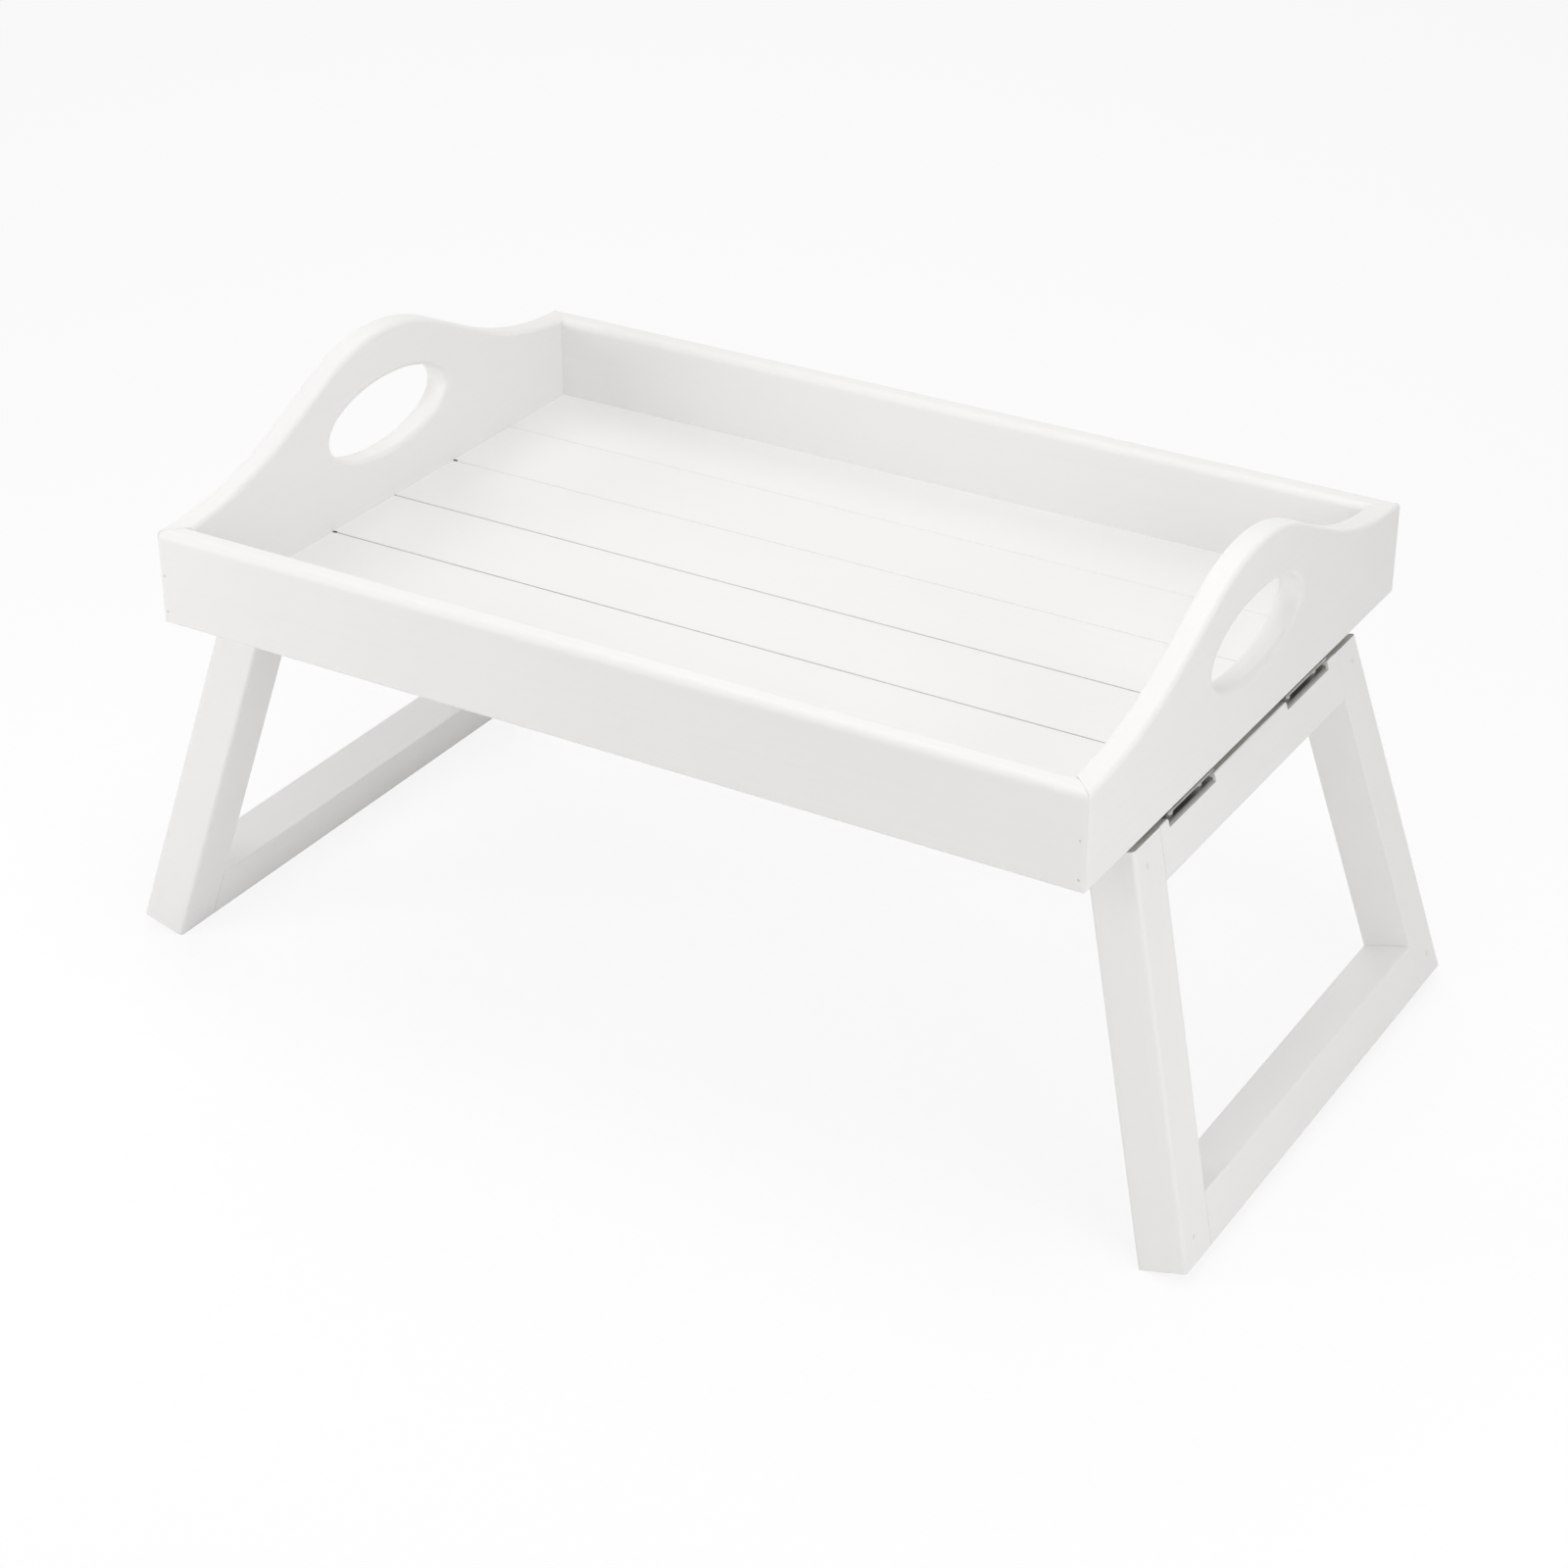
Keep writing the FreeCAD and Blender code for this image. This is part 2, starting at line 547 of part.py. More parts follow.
def make_leaf(label, side, reach):
    """A hinge leaf with its pivot along Y at the origin; the plate lies above it or below."""
    body = new_body(label)
    section = new_sketch(body, f"{label}_section", "XZ_Plane")
    draw_leaf_section(section, side, reach)
    add_pad(body, section, "hinge_length", centred=True)
    gaps = [i for i in range(KNUCKLES) if (i % 2 == 1) == (side > 0)]
    slot = new_sketch(body, f"{label}_slots", "XY_Plane")
    first = f"({gaps[0]} - {(KNUCKLES - 1) / 2}) * {KNUCKLE_PITCH}"
    half = f"({KNUCKLE_PITCH} / 2 + knuckle_play)"
    draw_box(slot, "-knuckle_radius - 1", "knuckle_radius + knuckle_play",
             f"{first} - {half}", f"{first} + {half}")
    cut = add_pocket(body, slot)
    add_row(body, cut, "Y_Axis", f"{gaps[-1] - gaps[0]} * {KNUCKLE_PITCH}", len(gaps))
    bore = new_sketch(body, f"{label}_bore", "XZ_Plane")
    draw_circle(bore, "0", "0", "pin_radius + pin_play")
    add_pocket(body, bore)
    holes = new_sketch(body, f"{label}_holes", "XY_Plane")
    for step in (-1, 1):
        draw_circle(holes, "screw_reach", f"{step} * screw_spread", "screw_radius + 2 * drill_play")
    add_pocket(body, holes)
    return body


def make_hinge_pin(label):
    body = new_body(label)
    section = new_sketch(body, f"{label}_section", "XZ_Plane")
    draw_circle(section, "0", "0", "pin_radius")
    add_pad(body, section, "hinge_length - mortise_play", centred=True)
    add_fillet(body, "mortise_play", lambda middle, ends: spread(ends, 1) < 1, flat=True)
    return body


# ---------------------------------------------------------------- fasteners

def turned(points):
    """The solid that a profile of (radius, height) pairs sweeps round the Z axis."""
    spots = [vector(radius, 0, height) for radius, height in points]
    face = Part.Face(Part.makePolygon(spots + spots[:1]))
    return face.revolve(vector(0, 0, 0), vector(0, 0, 1), 360)


def screw_shape():
    """A domed wood screw: the head hangs below z = 0 and the shank points up."""
    shank, head = size("screw_radius"), size("head_radius")
    high, length, rim = size("head_height"), size("screw_length"), size("head_rim")
    angles = [math.radians(degrees) for degrees in (0, 50)]
    dome = [(head * math.cos(a), -rim - (high - rim) * math.sin(a)) for a in angles]
    point = shank * 2
    return turned([(0, -high)] + dome[::-1] + [(head, 0), (shank, 0), (shank, length - point),
                                               (0, length)])


def nail_shape():
    """A flat-headed floor nail that stands on its head at z = 0."""
    shank, head = size("nail_radius"), size("nail_head_radius")
    length, high = size("nail_length"), size("nail_head")
    return turned([(0, 0), (head, 0), (head, high), (shank, high), (shank, length), (0, length)])


def rod_shape(radius, length):
    return Part.makeCylinder(size(radius), size(length))


def make_group(label, shape, spots, turn=vector(0, 0, 1), angle=0):
    """Copies of one fastener at points given as triples of expressions, in one node."""
    copies = []
    for spot in spots:
        copy = shape.copy()
        copy.Placement = FreeCAD.Placement(
            vector(*(size(text) for text in spot)), FreeCAD.Rotation(turn, angle))
        copies.append(copy)
    group = doc.addObject("Part::Feature", label)
    group.Label = label
    group.Shape = Part.makeCompound(copies)
    return group


# ---------------------------------------------------------------- assembly

SIDES = (("right", 1, 0), ("left", -1, 180))
ENDS = (("front", -1), ("rear", 1))
pieces = []

for name, sign, turn in SIDES:
    pieces.append(make_end(f"end_panel_{name}", turn))
pieces.append(make_rail("rail_front", 0))
pieces.append(make_rail("rail_rear", 180))
for number in range(1, FLOOR_BOARDS + 1):
    pieces.append(make_floor_board(number))

nail_spots = [(f"{side} * {NAIL_X}", y, f"{UNDERSIDE} + rebate_height - floor_thick")
              for side in (-1, 1) for y in nail_rows()]
pieces.append(make_group("floor_nails", nail_shape(), nail_spots))
brad = rod_shape("brad_radius", "brad_length")
brad_spots = [(f"{side} * ({HALF_LENGTH} - brad_inset)", y, f"{UNDERSIDE} + {z}")
              for side in (-1, 1)
              for y in (f"-{HALF_DEPTH} + floor_play", f"{HALF_DEPTH} - floor_play - brad_length")
              for z in ("brad_low", "brad_high")]
pieces.append(make_group("corner_brads", brad, brad_spots, vector(1, 0, 0), -90))

screw = screw_shape()
peg = rod_shape("peg_radius", "peg_length")
SCREW_X = "(tray_length / 2 - pivot_inset + screw_reach)"
pieces.append(make_group("hinge_screws_tray", screw, [
    (f"{sign} * {SCREW_X}", y, f"{UNDERSIDE} - leaf_thick")
    for name, sign, turn in SIDES for y in hinge_screw_rows()]))

for name, sign, turn in SIDES:
    for end, way in ENDS:
        spot = (f"{sign} * {PIVOT_X}", f"{way} * hinge_offset", PIVOT_Z)
        upper = make_leaf(f"hinge_leaf_upper_{name}_{end}", 1, "upper_tip")
        lower = make_leaf(f"hinge_leaf_lower_{name}_{end}", -1, "lower_tip")
        pin = make_hinge_pin(f"hinge_pin_{name}_{end}")
        for piece in (upper, lower, pin):
            place(piece, *spot, turn)
            pieces.append(piece)
        pieces.append(make_leg(f"leg_{name}_{end}", way * sign, turn))
    pieces.append(make_bar(f"top_bar_{name}", turn, True))
    pieces.append(make_bar(f"foot_bar_{name}", turn, False))
    pieces.append(make_group(f"hinge_screws_{name}", screw, [
        (f"{sign} * {SCREW_X}", y, f"{PIVOT_Z} - knuckle_radius + leaf_thick")
        for y in hinge_screw_rows()], vector(1, 0, 0), 180))
    local = [("-peg_length - tenon_play / 2", f"{side} * {y}", f"-{down}")
             for side in (-1, 1) for y, down in (TOP_PEG, FOOT_PEG)]
    pegs = make_group(f"joint_pegs_{name}", peg, local, vector(0, 1, 0), 90)
    stand(pegs, turn)
    pieces.append(pegs)

doc.recompute()
for thing in doc.Objects:
    if "Invalid" in thing.State or "Error" in thing.State:
        raise RuntimeError(f"{thing.Label}: {thing.State}")
for piece in pieces:
    if piece.Shape.isNull() or not piece.Shape.isValid():
        raise RuntimeError(f"{piece.Label} has no valid shape")

os.makedirs("parts", exist_ok=True)
for piece in pieces:
    piece.Shape.exportStep(f"parts/{piece.Label}.step")
    print(f"{piece.Label}: {len(piece.Shape.Solids)} solid(s), {piece.Shape.Volume:.0f} mm3")
box = Part.makeCompound([piece.Shape for piece in pieces]).BoundBox
print(f"{len(pieces)} nodes, {box.XLength:.1f} x {box.YLength:.1f} x {box.ZLength:.1f} mm, "
      f"z from {box.ZMin:.2f}")
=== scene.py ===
import logging
import math
from dataclasses import dataclass, replace
from enum import Enum
from typing import Any

import bmesh
import bpy
from mathutils import Matrix, Vector


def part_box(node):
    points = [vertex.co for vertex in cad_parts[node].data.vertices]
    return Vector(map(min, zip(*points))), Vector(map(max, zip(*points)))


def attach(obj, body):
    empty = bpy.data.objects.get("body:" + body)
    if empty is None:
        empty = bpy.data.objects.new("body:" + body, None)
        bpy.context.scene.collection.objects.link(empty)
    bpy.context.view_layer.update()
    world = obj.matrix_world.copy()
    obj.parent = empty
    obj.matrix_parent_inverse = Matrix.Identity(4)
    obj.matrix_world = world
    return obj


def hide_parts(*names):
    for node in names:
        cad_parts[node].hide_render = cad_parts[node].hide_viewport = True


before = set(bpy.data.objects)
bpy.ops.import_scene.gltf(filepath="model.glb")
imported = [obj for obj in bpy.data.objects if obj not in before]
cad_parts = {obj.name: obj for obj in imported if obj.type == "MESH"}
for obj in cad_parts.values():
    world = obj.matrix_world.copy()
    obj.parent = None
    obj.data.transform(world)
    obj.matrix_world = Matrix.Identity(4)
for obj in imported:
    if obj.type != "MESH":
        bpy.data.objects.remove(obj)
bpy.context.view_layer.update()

LOG = logging.getLogger("bed_tray")
MM = 0.001
SHARP_ANGLE = math.radians(35)
Triple = tuple[float, float, float]


class Side(Enum):
    """The two ends of the tray, each with the turn about Z that its leg frame has."""

    RIGHT = ("right", 1, 0.0)
    LEFT = ("left", -1, math.pi)

    @property
    def word(self) -> str:
        """The side's name in piece names."""
        return self.value[0]

    @property
    def sign(self) -> int:
        """1 at +X and -1 at -X."""
        return self.value[1]

    @property
    def turn(self) -> float:
        """The frame's turn about Z, in radians."""
        return self.value[2]


class Run(Enum):
    """The way a board's grain runs, as the size of one grain cell along X, Y and Z."""

    LONG = (0.30, 0.0022, 0.0022)
    CROSS = (0.0022, 0.30, 0.0022)
    UPRIGHT = (0.0022, 0.0022, 0.30)


# ------------------------------------------------------------------ materials

class Value:
    """A number in a node tree, held by the socket that gives it."""

    def __init__(self, sheet: "NodeSheet", socket: bpy.types.NodeSocket) -> None:
        """Keeps the sheet that the socket belongs to.

        Args:
            sheet: The sheet that new Math nodes go in.
            socket: The output that gives the number.
        """
        self.sheet = sheet
        self.socket = socket

    def _math(self, operation: str, first: Any, second: Any) -> "Value":
        """One Math node on two numbers.

        Args:
            operation: The node's operation.
            first: A Value or a plain number.
            second: A Value or a plain number.

        Returns:
            The node's result.
        """
        made = self.sheet.node("ShaderNodeMath", {"operation": operation}, {0: first, 1: second})
        return Value(self.sheet, made.outputs[0])

    def __add__(self, other: Any) -> "Value":
        """The sum."""
        return self._math("ADD", self, other)

    __radd__ = __add__

    def __sub__(self, other: Any) -> "Value":
        """The difference."""
        return self._math("SUBTRACT", self, other)

    def __rsub__(self, other: Any) -> "Value":
        """The difference from a plain number."""
        return self._math("SUBTRACT", other, self)

    def __mul__(self, other: Any) -> "Value":
        """The product."""
        return self._math("MULTIPLY", self, other)

    __rmul__ = __mul__

    def above(self, limit: float) -> "Value":
        """1 where the number is over the limit, else 0."""
        return self._math("GREATER_THAN", self, limit)

    def largest(self, other: Any) -> "Value":
        """The larger of two numbers."""
        return self._math("MAXIMUM", self, other)

    def size(self) -> "Value":
        """The number without its sign."""
        return self._math("ABSOLUTE", self, 0.0)


class NodeSheet:
    """A node tree that is filled by one method."""

    def __init__(self, tree: bpy.types.NodeTree) -> None:
        """Starts from an empty tree."""
        self.tree = tree
        self.tree.nodes.clear()

    def node(self, kind: str, settings: dict | None = None,
             inputs: dict | None = None) -> bpy.types.Node:
        """Adds one node.

        Args:
            kind: The node's type.
            settings: Its own properties, set first.
            inputs: A value or a link for each socket, by name or number.

        Returns:
            The new node.
        """
        made = self.tree.nodes.new(kind)
        for key, value in (settings or {}).items():
            setattr(made, key, value)
        for key, value in (inputs or {}).items():
            self.feed(made.inputs[key], value)
        return made

    def feed(self, socket: bpy.types.NodeSocket, value: Any) -> None:
        """Gives a socket a link or a plain value."""
        if isinstance(value, Value):
            value = value.socket
        if isinstance(value, bpy.types.NodeSocket):
            self.tree.links.new(value, socket)
        else:
            socket.default_value = value

    def blend(self, share: Any, first: Any, second: Any) -> bpy.types.NodeSocket:
        """A colour between two colours.

        Args:
            share: 0 for the first colour and 1 for the second.
            first: A link or four numbers.
            second: A link or four numbers.

        Returns:
            The mixed colour.
        """
        made = self.node("ShaderNodeMix", {"data_type": "RGBA"}, {0: share, 6: first, 7: second})
        return made.outputs[2]

    def noise(self, vector: bpy.types.NodeSocket, scale: float, detail: float) -> Value:
        """Noise from 0 to 1.

        Args:
            vector: The coordinates.
            scale: Cells to a unit of the coordinates.
            detail: Octaves.

        Returns:
            The noise.
        """
        made = self.node("ShaderNodeTexNoise", None,
                         {"Vector": vector, "Scale": scale, "Detail": detail})
        return Value(self, made.outputs[0])

    def alike(self, first: Any, second: Any) -> Value:
        """The dot product of two directions."""
        made = self.node("ShaderNodeVectorMath", {"operation": "DOT_PRODUCT"},
                         {0: first, 1: second})
        return Value(self, made.outputs["Value"])

    def stretched(self, place: bpy.types.NodeSocket, cell: Triple,
                  **shift: Triple) -> bpy.types.NodeSocket:
        """Coordinates in cells that are longer one way, for grain and drawing marks.

        Args:
            place: Object coordinates.
            cell: The cell's size along X, Y and Z.
            **shift: The cells' own Location and Rotation.

        Returns:
            The new coordinates.
        """
        made = self.node("ShaderNodeMapping", {"vector_type": "TEXTURE"},
                         {"Vector": place, "Scale": cell, **shift})
        return made.outputs[0]

    def bump(self, strength: float, depth: float, height: Value) -> bpy.types.NodeSocket:
        """A normal that follows a height.

        Args:
            strength: The share of the effect.
            depth: The height's reach in metres.
            height: The height, from 0 to 1.

        Returns:
            The bent normal.
        """
        made = self.node("ShaderNodeBump", None,
                         {"Strength": strength, "Distance": depth, "Height": height})
        return made.outputs[0]


def bare_material(name: str) -> tuple[bpy.types.Material, NodeSheet]:
    """Makes a material with an empty sheet.

    Args:
        name: The material's name.

    Returns:
        The material and its sheet.
    """
    material = bpy.data.materials.new(name)
    material.use_nodes = True
    return material, NodeSheet(material.node_tree)


@dataclass(frozen=True)
class Seam:
    """A line where two floor boards meet, some with a small hole at the tray's left end whose
    darkness is painted shade.
    """

    line: float
    strength: float
    with_hole_shade: bool = False


@dataclass(frozen=True)
class PaintedWood:
    """Soft-white paint over planed boards: grain telegraphs through it and arrises are rubbed;
    it can also carry painted shade on a face in a gap and at the floor seams' ends.

    Attributes:
        name: The material's name.
        run: The way the grain runs.
        tilt: The grain's turn from that axis, in radians.
        start: The grain's own shift, so that no two boards are alike.
        paint: The paint's colour.
        shade: Its colour over darker grain.
        rubbed: Its colour at the arrises.
        roughness: The mean roughness.
        gloss: The specular level.
        arris: How far from an edge the paint is rubbed.
        wear: How strongly it is rubbed there.
        relief: The bump's strength and its depth in metres.
        seams: The lines that cross this board.
        seam_half: Half a line's width.
        seam_gain: How dark a line of strength 1 is.
        seam_end: The distance from the middle where a line goes under the tray's end.
        chip_place: Where a small hole is along its line.
        chip_reach: Half a small hole's length and width.
        dirt: The lines' colour: dirt in the joints, and painted shade where they run under the
            tray's end.
        hole: The near-black painted shade inside the small holes.
        covered: The direction of a face that lies in the gap under the tray, if there is one;
            that face gets painted shade.
        gap_shade_from: The dot product with that direction where the painted shade begins.
        gap_shade_gain: How fast it grows from there.
        thin: The grey of the painted shade on that face.
    """

    name: str
    run: Run
    tilt: Triple = (0.0, 0.0, 0.0)
    start: Triple = (0.0, 0.0, 0.0)
    paint: tuple = (0.865, 0.858, 0.848, 1.0)
    shade: tuple = (0.825, 0.815, 0.800, 1.0)
    rubbed: tuple = (0.850, 0.845, 0.837, 1.0)
    roughness: float = 0.50
    gloss: float = 0.42
    arris: float = 0.0012
    wear: float = 5.0
    relief: tuple[float, float] = (0.32, 0.00022)
    seams: tuple[Seam, ...] = ()
    seam_half: float = 0.00055
    seam_gain: float = 1.3
    seam_end: float = 0.2361
    chip_place: float = -0.2358
    chip_reach: tuple[float, float] = (0.0014, 0.0010)
    dirt: tuple = (0.30, 0.285, 0.27, 1.0)
    hole: tuple = (0.035, 0.032, 0.03, 1.0)
    covered: Triple | None = None
    gap_shade_from: float = 0.86
    gap_shade_gain: float = 9.0
    thin: tuple = (0.55, 0.535, 0.515, 1.0)

    def paint_gap_shade(self, sheet: NodeSheet, colour: Any) -> Any:
        """Paints shade on the face that lies in a gap: a grey that stands in for the shadow
        there.

        Args:
            sheet: The material's sheet.
            colour: The paint's colour.

        Returns:
            The colour with painted shade on that face.
        """
        if self.covered is None:
            return colour
        facing = sheet.node("ShaderNodeTexCoord").outputs["Normal"]
        share = (sheet.alike(facing, self.covered) - self.gap_shade_from) * self.gap_shade_gain
        return sheet.blend(share, colour, self.thin)

    def darken_seams(self, sheet: NodeSheet, place: bpy.types.NodeSocket, colour: Any,
                     uneven: Value) -> Any:
        """Darkens the lines where floor boards meet with dirt, adds painted shade to their ends
        under the tray's ends, and paints near-black shade in the small holes there.

        Args:
            sheet: The material's sheet.
            place: Object coordinates.
            colour: The paint's colour.
            uneven: Noise that varies the lines.

        Returns:
            The colour with its seams.
        """
        if not self.seams:
            return colour
        split = sheet.node("ShaderNodeSeparateXYZ", None, {0: place}).outputs
        along, across = Value(sheet, split["X"]), Value(sheet, split["Y"])
        # painted shade: the lines darken more where they run under the tray's ends
        shade_at_end = along.size().above(self.seam_end)
        for seam in self.seams:
            off = across - seam.line
            near = (1.0 - off.size() * (1.0 / self.seam_half)).largest(0.0)
            share = near * (seam.strength * self.seam_gain) * (0.55 + 0.9 * uneven + shade_at_end)
            colour = sheet.blend(share, colour, self.dirt)
            # painted shade: a near-black spot stands in for the shadow inside a small hole
            if seam.with_hole_shade:
                wide = (along - self.chip_place) * (1.0 / self.chip_reach[0])
                high = off * (1.0 / self.chip_reach[1])
                inside = (1.0 - wide * wide - high * high).above(0.0)
                colour = sheet.blend(inside, colour, self.hole)
        return colour

    def build(self) -> bpy.types.Material:
        """Makes the material.

        Returns:
            The finished material.
        """
        material, sheet = bare_material(self.name)
        place = sheet.node("ShaderNodeTexCoord").outputs["Object"]
        along = sheet.stretched(place, self.run.value, Location=self.start, Rotation=self.tilt)
        grain = sheet.noise(along, 1.0, 5.0)
        brush = sheet.noise(along, 3.4, 2.0)
        cloud = sheet.noise(place, 14.0, 3.0)
        speck = sheet.noise(place, 900.0, 2.0)
        tint = sheet.blend((grain - 0.35) * 0.5 + (cloud - 0.5) * 0.5, self.paint, self.shade)
        facing = sheet.node("ShaderNodeNewGeometry").outputs["Normal"]
        eased = sheet.node("ShaderNodeBevel", {"samples": 6}, {"Radius": self.arris}).outputs[0]
        edge = (1.0 - sheet.alike(facing, eased)) * self.wear
        colour = sheet.blend(edge * (0.35 + 0.65 * cloud), tint, self.rubbed)
        # dirt in the seams, with painted shade at their ends and in the small holes
        colour = self.darken_seams(sheet, place, colour, cloud)
        # painted shade: greys the face that lies in the gap under the tray
        colour = self.paint_gap_shade(sheet, colour)
        rough = self.roughness + (brush - 0.5) * 0.14 + (cloud - 0.5) * 0.10
        bump = sheet.bump(*self.relief, grain * 0.55 + brush * 0.3 + speck * 0.15)
        shader = sheet.node("ShaderNodeBsdfPrincipled", None, {
            "Base Color": colour, "Roughness": rough, "Normal": bump,
            "Specular IOR Level": self.gloss})
        sheet.node("ShaderNodeOutputMaterial", None, {"Surface": shader.outputs[0]})
        return material


@dataclass(frozen=True)
class Steel:
    """Plain sheet or wire steel with fine drawing marks and darker patches.

    Attributes:
        name: The material's name.
        bright: The steel's colour.
        dull: The darker patches' colour.
        roughness: The mean roughness.
        mark: The size of one drawing mark along X, Y and Z.
        relief: The bump's strength and its depth in metres.
    """

    name: str
    bright: tuple
    dull: tuple
    roughness: float
    mark: Triple = (0.0004, 0.02, 0.0004)
    relief: tuple[float, float] = (0.25, 0.00006)

    def build(self) -> bpy.types.Material:
        """Makes the material.

        Returns:
            The finished material.
        """
        material, sheet = bare_material(self.name)
        place = sheet.node("ShaderNodeTexCoord").outputs["Object"]
        marks = sheet.noise(sheet.stretched(place, self.mark), 1.0, 3.0)
        patch = sheet.noise(place, 220.0, 4.0)
        colour = sheet.blend(patch * 0.7 + marks * 0.3, self.bright, self.dull)
        rough = self.roughness + (patch - 0.5) * 0.25 + (marks - 0.5) * 0.12
        bump = sheet.bump(*self.relief, marks)
        shader = sheet.node("ShaderNodeBsdfPrincipled", None, {
            "Base Color": colour, "Roughness": rough, "Metallic": 1.0, "Normal": bump})
        sheet.node("ShaderNodeOutputMaterial", None, {"Surface": shader.outputs[0]})
        return material


HINGE_STEEL = Steel("hinge_steel", (0.50, 0.485, 0.465, 1.0), (0.27, 0.258, 0.245, 1.0), 0.40)
NAIL_STEEL = Steel("nail_steel", (0.52, 0.51, 0.49, 1.0), (0.30, 0.295, 0.285, 1.0), 0.34)
# brad steel far darker than real steel: painted shade for the punched holes over the brad heads
BRAD_STEEL_PAINTED_SHADE = Steel("brad_steel_painted_shade", (0.17, 0.163, 0.155, 1.0), (0.055, 0.052, 0.05, 1.0), 0.45)


def dress(node: str, material: bpy.types.Material) -> None:
    """Gives a carried-over CAD piece its finish.

    Args:
        node: The piece's name.
        material: Its finish.
    """
    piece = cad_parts[node]
    if not piece.material_slots:
        piece.data.materials.append(None)
    for place in piece.material_slots:
        place.material = material
    LOG.info("dressed %s in %s", node, material.name)


# ------------------------------------------------------------------ repeated fasteners

def add_object(name: str, data: Any) -> bpy.types.Object:
    """Puts a new object in the scene.

    Args:
        name: The object's name.
        data: Its mesh, lamp or camera.

    Returns:
        The new object.
    """
    made = bpy.data.objects.new(name, data)
    bpy.context.scene.collection.objects.link(made)
    return made


def applied_mesh(piece: bpy.types.Object) -> bpy.types.Mesh:
    """A new mesh with the object's modifiers applied."""
    graph = bpy.context.evaluated_depsgraph_get()
    return bpy.data.meshes.new_from_object(piece.evaluated_get(graph))


def lathe(profile: list[tuple[float, float]], sides: int) -> bpy.types.Mesh:
    """Turns a profile round Z.

    Args:
        profile: (radius, height) pairs in metres, from pole to pole.
        sides: Faces round the axis.

    Returns:
        A closed mesh with its faces outward.
    """
    shape = bmesh.new()
    rings: list[list[bmesh.types.BMVert]] = []
    for radius, height in profile:
        if radius == 0:
            rings.append([shape.verts.new((0, 0, height))])
            continue
        angles = [math.tau * i / sides for i in range(sides)]
        rings.append([shape.verts.new((radius * math.cos(a), radius * math.sin(a), height))
                      for a in angles])
    for low, high in zip(rings, rings[1:]):
        for i in range(sides):
            j = (i + 1) % sides
            corners = [low[i % len(low)], low[j % len(low)], high[j % len(high)],
                       high[i % len(high)]]
            shape.faces.new(list(dict.fromkeys(corners)))
    bmesh.ops.recalc_face_normals(shape, faces=shape.faces)
    mesh = bpy.data.meshes.new("turned")
    shape.to_mesh(mesh)
    shape.free()
    return mesh


def recess(mesh: bpy.types.Mesh, reach: float, width: float, low: float,
           high: float) -> bpy.types.Mesh:
    """Cuts a driver's cross into the end of a turned piece.

    Args:
        mesh: The piece, turned round Z.
        reach: Half the cross's length.
        width: The width of each arm.
        low: The cross's lower height.
        high: Its upper height.

    Returns:
        A new mesh with the cross cut.
    """
    piece = add_object("blank", mesh)
    cutters = []
    for turned in (False, True):
        cross = bmesh.new()
        spans = (width, 2 * reach) if turned else (2 * reach, width)
        bmesh.ops.create_cube(cross, size=1.0)
        bmesh.ops.scale(cross, vec=(*spans, high - low), verts=cross.verts)
        bmesh.ops.translate(cross, vec=(0, 0, (low + high) / 2), verts=cross.verts)
        arm_mesh = bpy.data.meshes.new("arm")
        cross.to_mesh(arm_mesh)
        cross.free()
        arm = add_object("arm", arm_mesh)
        cutter = piece.modifiers.new("cross", "BOOLEAN")
        cutter.operation = "DIFFERENCE"
        cutter.object = arm
        cutters.append(arm)
    made = applied_mesh(piece)
    for spare in (piece, *cutters):
        bpy.data.objects.remove(spare)
    return made


